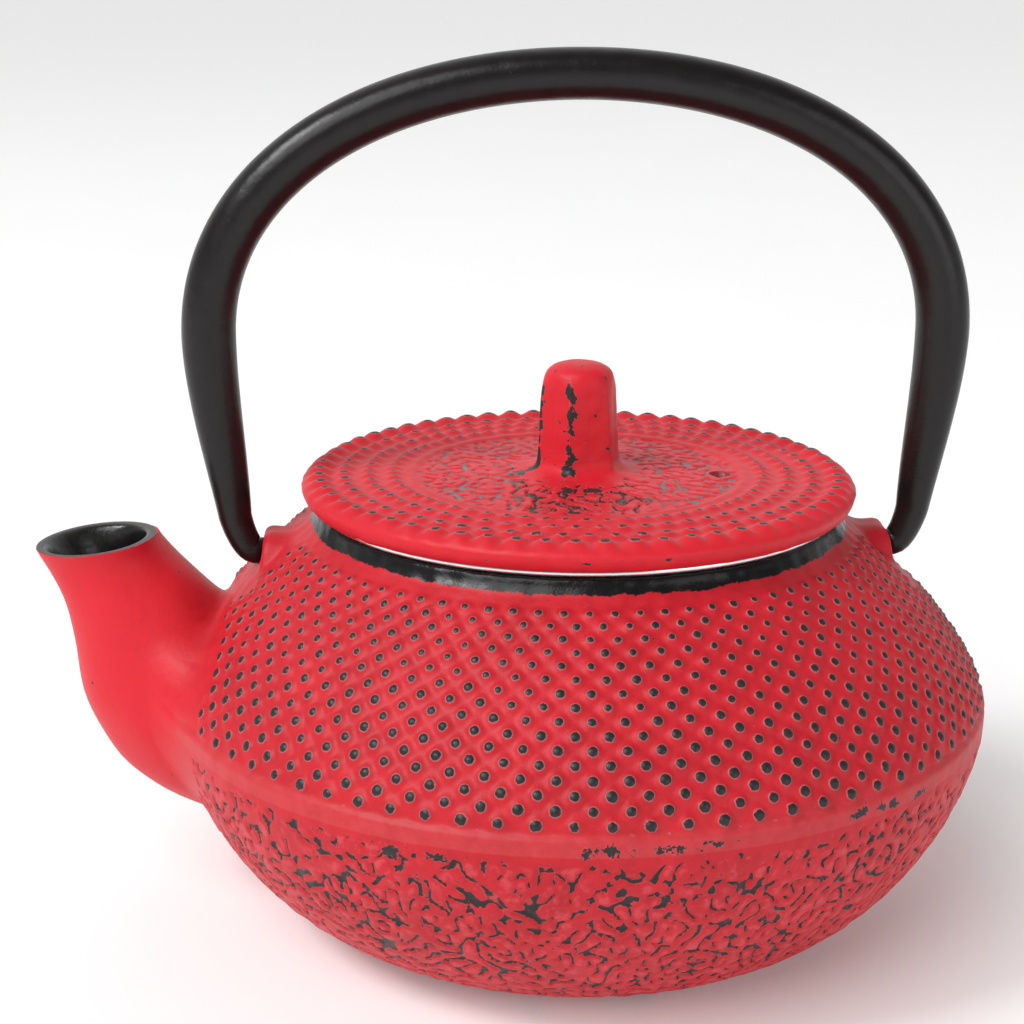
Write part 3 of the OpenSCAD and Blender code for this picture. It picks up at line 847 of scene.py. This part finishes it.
# ==== materials
class Tree:
    """A short way to write a node tree."""

    def __init__(self, nt):
        self.nt = nt

    def node(self, kind, inputs=(), **settings):
        """A new node with its settings, and values or links for its inputs by number or name."""
        n = self.nt.nodes.new("ShaderNode" + kind)
        for key, value in settings.items():
            setattr(n, key, value)
        for key, value in dict(inputs).items():
            self.put(n.inputs[key], value)
        return n

    def put(self, socket, value):
        if isinstance(value, bpy.types.NodeSocket):
            self.nt.links.new(value, socket)
        else:
            socket.default_value = value

    def math(self, op, *values):
        return self.node("Math", enumerate(values), operation=op).outputs[0]

    def add(self, a, b):
        return self.math("ADD", a, b)

    def sub(self, a, b):
        return self.math("SUBTRACT", a, b)

    def mul(self, a, b):
        return self.math("MULTIPLY", a, b)

    def most(self, a, b):
        return self.math("MAXIMUM", a, b)

    def vec(self, op, *values, out=0):
        return self.node("VectorMath", enumerate(values), operation=op).outputs[out]

    def join(self, x, y, z=0.0):
        return self.node("CombineXYZ", enumerate((x, y, z))).outputs[0]

    def split(self, v):
        return self.node("SeparateXYZ", {0: v}).outputs

    def length(self, x, y):
        return self.vec("LENGTH", self.join(x, y), out=1)

    def attr(self, name, out="Fac"):
        return self.node("Attribute", attribute_name=name).outputs[out]

    def noise(self, v, scale, detail=2.0, rough=0.5, distort=0.0):
        inputs = {"Vector": v, "Scale": scale, "Detail": detail, "Roughness": rough, "Distortion": distort}
        return self.node("TexNoise", inputs).outputs["Fac"]

    def ramp(self, x, lo, hi, at_lo, at_hi):
        """at_lo below lo and at_hi above hi, with soft ends."""
        inputs = {"Value": x, "From Min": lo, "From Max": hi, "To Min": at_lo, "To Max": at_hi}
        return self.node("MapRange", inputs, interpolation_type="SMOOTHSTEP").outputs[0]

    def step(self, x, lo, hi):
        """0 at lo and 1 at hi, with soft ends. lo may be above hi."""
        return self.ramp(x, lo, hi, 0.0, 1.0) if lo <= hi else self.ramp(x, hi, lo, 1.0, 0.0)

    def mix(self, fac, a, b):
        """A colour between a and b."""
        a, b = ((*v, 1.0) if isinstance(v, tuple) else v for v in (a, b))
        return self.node("Mix", {0: fac, 6: a, 7: b}, data_type="RGBA").outputs[2]

    def blend(self, fac, a, b):
        """A value between a and b."""
        return self.node("Mix", {0: fac, 2: a, 3: b}).outputs[0]

    def waves(self, waves, p):
        """The same sum of waves as field()."""
        total = None
        for k, phase in zip(*waves):
            one = self.math("SINE", self.add(self.vec("DOT_PRODUCT", p, tuple(k), out=1), float(phase)))
            total = one if total is None else self.add(total, one)
        return self.mul(total, math.sqrt(2 / len(waves[1])))

    def rest_mm(self):
        """Object coordinates in mm, for pieces without a rest attribute."""
        place = self.node("TexCoord").outputs["Object"]
        return self.node("VectorMath", {0: place, "Scale": 1 / MM}, operation="SCALE").outputs[0]


class Material(Tree):
    """A node tree that ends in one principled shader."""

    def __init__(self, name):
        self.mat = bpy.data.materials.new(name)
        self.mat.use_nodes = True
        super().__init__(self.mat.node_tree)
        self.nt.nodes.clear()
        self.bsdf = self.node("BsdfPrincipled")
        self.node("OutputMaterial", {0: self.bsdf.outputs[0]})

    def shader(self, name, value):
        self.put(self.bsdf.inputs[name], value)

    def bump(self, height):
        """Relief from a height in mm."""
        n = self.node("Bump", {"Height": height, "Distance": MM, "Strength": 1.0})
        self.shader("Normal", n.outputs[0])


RED_DEEP = (0.47, 0.011, 0.020)
RED_FULL = (0.60, 0.016, 0.028)
RED_BRIGHT = (0.71, 0.016, 0.030)      # a brighter red; on the spout it is painted light where the spout faces the key light, and the lid's coat is mixed toward it too
SCUFF = (0.80, 0.20, 0.22)
HALO = (0.42, 0.20, 0.20)
SEAM = (0.56, 0.08, 0.085)
DUST = (0.21, 0.19, 0.195)
IRON_DARK, IRON_PALE = (0.012, 0.012, 0.013), (0.036, 0.035, 0.035)
GLAZE = (0.008, 0.008, 0.009)


class RedCoat(Material):
    """Satin red paint with rubbed black tips on a lattice of bumps, and black recesses and chips."""

    def __init__(self, name):
        super().__init__(name)
        self.rest = self.attr("rest", "Vector")
        self.x, self.y, self.z = self.split(self.rest)
        self.radius = self.length(self.x, self.y)
        self.fine = self.noise(self.rest, 1.9, 2.0, 0.6)
        self.medium = self.noise(self.rest, 0.62, 3.0, 0.6)
        self.jag = self.sub(self.fine, 0.5)
        self.grey = self.mix(self.noise(self.rest, 1.4, 2.0, 0.6), IRON_DARK, IRON_PALE)


def one_lattice(t, u, v, arc, pitch, count, start_u, start_v):
    """Distance to the nearest bump of every second row, that bump's own vector, and its row."""
    uu = t.sub(u, start_u)
    ku = t.math("ROUND", uu)
    vv = t.mul(t.sub(v, start_v), 0.5)
    kv = t.math("ROUND", vv)
    du = t.mul(t.sub(uu, ku), arc)
    dv = t.mul(t.sub(vv, kv), 2 * pitch)
    cell = t.join(t.math("WRAP", ku, float(count), 0.0), t.add(kv, 40 * start_v))
    return t.length(du, dv), cell, t.add(t.mul(kv, 2.0), start_v)


def tips(t, count, rows, pitch, tip, tip_low, low_rows, jag_row):
    """Where the tips of the bumps are black, and a ring round each."""
    u, v, _ = t.split(t.node("UVMap", uv_map="lattice").outputs[0])
    arc = t.mul(t.radius, TAU / count)
    d_a, cell_a, row_a = one_lattice(t, u, v, arc, pitch, count, 0.0, 0.0)
    d_b, cell_b, row_b = one_lattice(t, u, v, arc, pitch, count, 0.5, 1.0)
    pick = t.math("LESS_THAN", d_b, d_a)
    row = t.blend(pick, row_a, row_b)
    cell = t.node("Mix", {0: pick, 4: cell_a, 5: cell_b}, data_type="VECTOR").outputs[1]
    luck = t.node("TexWhiteNoise", {"Vector": cell}, noise_dimensions="3D").outputs["Value"]

    nail = t.attr("nail")
    size = t.blend(t.step(row, *low_rows), tip, tip_low)
    size = t.add(size, t.mul(t.sub(luck, 0.5), 0.15))
    size = t.mul(size, t.step(nail, 0.0, 0.9))
    ragged = t.blend(t.step(row, jag_row + 0.6, jag_row - 0.6), 0.30, 0.8)
    gap = t.sub(t.add(t.math("MINIMUM", d_a, d_b), t.mul(t.jag, ragged)), size)
    in_rows = t.mul(t.step(v, -0.9, -0.6), t.step(v, rows - 0.4, rows - 0.6))
    on_lattice = t.mul(t.step(nail, 0.05, 0.3), in_rows)
    return [t.mul(t.step(gap, *ends), on_lattice) for ends in ((0.06, -0.06), (0.24, 0.03))]


def marks(t):
    """Where iron is bare, the paint's edge round it, the crests between worms, and the worms alone."""
    ink = t.add(t.attr("ink"), t.mul(t.jag, 6.0))
    line = t.math("ABSOLUTE", t.add(t.waves(WORM, t.rest), t.mul(t.jag, 1.1)))
    worm = t.add(t.attr("worm"), t.mul(t.waves(BREAK, t.rest), WORM_BREAK))
    worm = t.sub(t.math("MINIMUM", worm, WORM_WIDEST), line)
    worm = t.add(worm, t.mul(t.jag, 0.7))
    bare = t.most(t.step(ink, -0.05, 0.22), t.step(worm, -0.04, 0.12))
    edge = t.mul(t.most(t.step(ink, -0.55, 0.0), t.step(worm, -0.30, 0.0)), 0.4)
    crest = t.mul(t.step(line, 0.8, 1.5), t.step(t.attr("worm"), -0.4, 0.1))
    return bare, edge, crest, worm


def plain_red(t):
    """The paint's red, deeper and fuller in patches."""
    coarse = t.noise(t.rest, 0.13, 3.0, 0.6)
    tone = t.add(t.mul(coarse, 0.6), t.mul(t.medium, 0.5))
    return t.mix(t.step(tone, 0.32, 0.76), RED_DEEP, RED_FULL)


def scuffed(t, red, crest, streak):
    """The red with fine streaks, dust, and paler crests between the worms."""
    stretched = t.vec("MULTIPLY", t.rest, (0.9, 0.9, 2.6))
    scratch = t.step(t.noise(stretched, 1.1, 5.0, 0.72, 0.8), 0.66, 0.80)
    dust = t.step(t.noise(t.rest, 4.0, 2.0, 0.5), 0.70, 0.78)
    rub = t.most(t.mul(scratch, streak), t.mul(dust, 0.22))
    rub = t.most(rub, t.mul(crest, t.mul(t.step(t.medium, 0.42, 0.66), 0.22)))
    return t.mix(rub, red, SCUFF)


def seam_and_painted_light(t, red):
    """The pot's red, with painted light making it brighter on the spout and the hobnails beside it, which
    face the key light, and paler along the band.
    """
    # painted light: the red brightens from x = -51 to -60 mm, on the spout's side where the key light falls
    red = t.mix(t.mul(t.step(t.x, -51.0, -60.0), 0.72), red, RED_BRIGHT)
    high = t.mul(t.step(t.z, 31.7, BAND_LOW), t.step(t.z, 35.3, 34.2))
    wide = t.mul(t.step(t.radius, 59.0, 59.6), t.step(t.radius, 60.7, 60.3))
    return t.mix(t.mul(t.mul(high, wide), t.blend(t.medium, 0.10, 0.55)), red, SEAM)


def dusty(t, worm):
    """The lid's bare iron, dusty in the disc's worms away from the knob's front."""
    away = t.most(t.step(t.math("ABSOLUTE", t.x), 7.0, 12.0), t.step(t.y, -8.0, 2.0))
    in_worm = t.mul(t.step(worm, -0.1, 0.1), t.step(t.radius, 23.8, 23.2))
    return t.mix(t.mul(t.mul(away, in_worm), 0.9), t.grey, DUST)


def finish(t, red, dot, ring, bare, edge, grey):
    """The whole coat from its red, its marks and the grey of bare iron."""
    black = t.most(dot, bare)
    halo = t.mul(t.most(ring, edge), t.sub(1.0, black))
    red = t.mix(t.mul(halo, 0.62), red, HALO)
    glaze = t.step(t.add(t.attr("enamel"), t.mul(t.jag, 0.9)), -0.12, 0.12)
    t.shader("Base Color", t.mix(glaze, t.mix(black, red, grey), GLAZE))
    rough = t.blend(t.medium, 0.40, 0.56)
    rough = t.blend(black, rough, t.blend(t.fine, 0.26, 0.46))
    t.shader("Roughness", t.blend(glaze, rough, t.blend(t.medium, 0.20, 0.32)))
    t.shader("Specular IOR Level", 0.28)
    grain = t.noise(t.rest, 3.2, 2.0, 0.55)
    wavy = t.noise(t.rest, 0.9, 2.0, 0.5)
    h = t.sub(t.add(t.mul(grain, 0.022), t.mul(wavy, 0.05)), t.mul(bare, 0.05))
    t.bump(t.add(h, t.mul(t.mul(ring, 0.05), t.sub(1.0, dot))))
    return t.mat


def pot_red():
    t = RedCoat("pot_red")
    dot, ring = tips(t, NAILS, NAIL_ROWS, NAIL_PITCH, 0.44, 0.66, (15.0, 0.0), 0)
    bare, edge, crest, _ = marks(t)
    red = seam_and_painted_light(t, scuffed(t, plain_red(t), crest, 0.35))
    return finish(t, red, dot, ring, bare, edge, t.grey)


def lid_red():
    t = RedCoat("lid_red")
    dot, ring = tips(t, BEADS, BEAD_RINGS, BEAD_PITCH, 0.42, 0.62, (0.0, 3.0), 3)
    bare, edge, crest, worm = marks(t)
    red = scuffed(t, t.mix(0.7, plain_red(t), RED_BRIGHT), crest, 0.22)
    return finish(t, red, dot, ring, bare, edge, dusty(t, worm))


def black_enamel():
    t = Material("black_enamel")
    p = t.rest_mm()
    t.shader("Base Color", t.mix(t.noise(p, 0.5, 3.0, 0.6), (0.006, 0.006, 0.006), (0.020, 0.018, 0.017)))
    t.shader("Roughness", t.blend(t.noise(p, 1.2, 2.0), 0.16, 0.42))
    t.bump(t.mul(t.noise(p, 0.8, 3.0, 0.6), 0.09))
    return t.mat


def bare_iron():
    t = Material("bare_rim_iron")
    p = t.rest_mm()
    n = t.noise(p, 0.9, 3.0, 0.6)
    t.shader("Base Color", t.mix(n, (0.035, 0.030, 0.030), (0.085, 0.075, 0.074)))
    t.shader("Roughness", t.blend(n, 0.34, 0.55))
    t.shader("Metallic", 0.25)
    t.bump(t.mul(t.noise(p, 2.5, 2.0, 0.6), 0.03))
    return t.mat


def satin_black():
    t = Material("satin_black")
    p = t.rest_mm()
    z = t.split(p)[2]
    n = t.noise(p, 0.35, 4.0, 0.6)
    speck = t.step(t.noise(p, 1.6, 3.0, 0.6), 0.70, 0.78)
    t.shader("Base Color", t.mix(n, (0.0065, 0.0052, 0.0054), (0.012, 0.0098, 0.0100)))
    t.shader("Roughness", t.add(t.blend(n, 0.24, 0.34), t.mul(speck, 0.2)))
    t.shader("Specular IOR Level", 0.32)
    turning_marks = t.mul(t.math("SINE", t.mul(z, TAU / 0.55)), t.step(z, 78.0, 66.0))
    h = t.add(t.mul(t.noise(p, 1.8, 3.0, 0.6), 0.03), t.mul(t.noise(p, 0.3, 1.0), 0.10))
    h = t.add(h, t.mul(turning_marks, 0.003))
    t.bump(t.add(h, t.mul(speck, -0.02)))
    return t.mat


def steel(name, rough_lo, rough_hi, tone):
    t = Material(name)
    p = t.rest_mm()
    lines = t.noise(t.vec("MULTIPLY", p, (0.4, 0.4, 9.0)), 1.0, 3.0, 0.6)
    pale, dull = (tone, tone, tone * 0.985), (tone * 0.86, tone * 0.86, tone * 0.85)
    t.shader("Base Color", t.mix(t.noise(p, 0.3, 2.0), pale, dull))
    t.shader("Metallic", 1.0)
    t.shader("Roughness", t.blend(lines, rough_lo, rough_hi))
    t.bump(t.mul(lines, 0.008))
    return t.mat


def by_zone(ob, mats):
    """Material slots by the zone of each face: the first for the coat, the last for the enamel."""
    me = ob.data
    me.materials.clear()
    for mat in mats:
        me.materials.append(mat)
    zone = np.zeros(len(me.vertices), np.float32)
    me.attributes["zone"].data.foreach_get("value", zone)
    corner, start, total = loop_data(me)
    mean = np.add.reduceat(zone[corner], start) / total
    middle_slot = len(mats) - 2
    slot = np.where(mean > 1.55, len(mats) - 1, np.where(mean > 0.35, middle_slot, 0)).astype(np.int32)
    me.polygons.foreach_set("material_index", slot)
    me.polygons.foreach_set("use_smooth", np.ones(len(me.polygons), bool))
    me.update()


ENAMEL = black_enamel()
NET_STEEL = steel("wire_steel", 0.22, 0.38, 0.62)
POLISHED = steel("polished_steel", 0.10, 0.22, 0.82)
by_zone(pot, (pot_red(), bare_iron(), ENAMEL))
by_zone(lid, (lid_red(), ENAMEL))
for piece, mat in ((bail, satin_black()), (net, NET_STEEL), (net_floor, NET_STEEL)):
    piece.data.materials.append(mat)
for node in ("infuser_rim", "infuser_base_ring"):
    cad = frame["nodes"][node]
    for cad_slot in cad.material_slots:
        cad_slot.material = POLISHED
    if not cad.material_slots:
        cad.data.materials.append(POLISHED)

for piece, body, node, slot in (
        (pot, "pot", "pot_body", "red_iron"), (lid, "lid", "lid", "red_iron"),
        (bail, "bail", "bail_handle", "black_bail"), (net, "infuser", "infuser_mesh_wall", "steel_mesh"),
        (net_floor, "infuser", "infuser_mesh_floor", "steel_mesh")):
    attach(piece, body)
    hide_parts(node)


# ==== stage, lights and camera, in metres
FLOOR_GAP = 0.00002
bpy.ops.mesh.primitive_plane_add(size=60.0, location=(0, 0, START_BOX[0][2] - FLOOR_GAP))
floor = bpy.context.object
floor.name = "floor"
paper = Material("pale_floor")
paper.shader("Base Color", paper.mix(paper.noise(paper.rest_mm(), 0.01, 2.0), (0.90,) * 3, (0.94,) * 3))
paper.shader("Roughness", 0.85)
paper.shader("Specular IOR Level", 0.1)
paper.shader("Emission Color", (1, 1, 1, 1))
paper.shader("Emission Strength", 0.12)
floor.data.materials.append(paper.mat)

world = bpy.data.worlds.new("studio")
bpy.context.scene.world = world
world.use_nodes = True
sky = Tree(world.node_tree)
axes = sky.split(sky.node("TexCoord").outputs["Generated"])
behind = sky.ramp(axes[1], -0.2, 0.9, 0.10, 0.95)           # bright behind the pot
horizon = sky.ramp(axes[2], 0.16, 0.34, 0.55, 0.0)          # and all round, low over the floor
background = sky.nt.nodes["Background"]
sky.put(background.inputs[0], (1, 1, 1, 1))
sky.put(background.inputs[1], sky.most(behind, horizon))


def light(name, kind, energy, at, toward):
    """A light at a place, turned to shine from there toward another."""
    data = bpy.data.lights.new(name, kind)
    data.energy = energy
    ob = bpy.data.objects.new(name, data)
    bpy.context.scene.collection.objects.link(ob)
    ob.location = at
    ob.rotation_euler = (Vector(toward) - Vector(at)).to_track_quat("-Z", "Y").to_euler()
    return data


POT_MIDDLE = (0, 0, 0.05)
light("key", "SUN", 1.65, (-0.46, -0.54, 0.72), (0, 0, 0)).angle = math.radians(44)
light("fill", "AREA", 10.8, (1.65, -1.80, 0.80), POT_MIDDLE).size = 1.5
light("upper_left", "AREA", 14.0, (-1.20, -0.50, 1.40), POT_MIDDLE).size = 0.5

AIM = Vector((-0.0096, 0.0, 0.0586))
YAW, PITCH, ROLL = (math.radians(angle) for angle in (3.608, 15.738, 0.25))
DISTANCE = 0.2827
forward = Vector((math.sin(YAW) * math.cos(PITCH), math.cos(YAW) * math.cos(PITCH), -math.sin(PITCH)))
level = Vector((math.cos(YAW), -math.sin(YAW), 0))
upright = level.cross(forward)
right = level * math.cos(ROLL) + upright * math.sin(ROLL)
up = upright * math.cos(ROLL) - level * math.sin(ROLL)
camera_data = bpy.data.cameras.new("camera")
camera_data.sensor_width = 36.0
camera_data.lens = 67.80
camera_data.clip_start = 0.01
camera = bpy.data.objects.new("camera", camera_data)
bpy.context.scene.collection.objects.link(camera)
facing = Matrix((right, up, -forward)).transposed().to_4x4()
camera.matrix_world = Matrix.Translation(AIM - DISTANCE * forward) @ facing
bpy.context.scene.camera = camera
bpy.context.scene.view_settings.view_transform = "Standard"
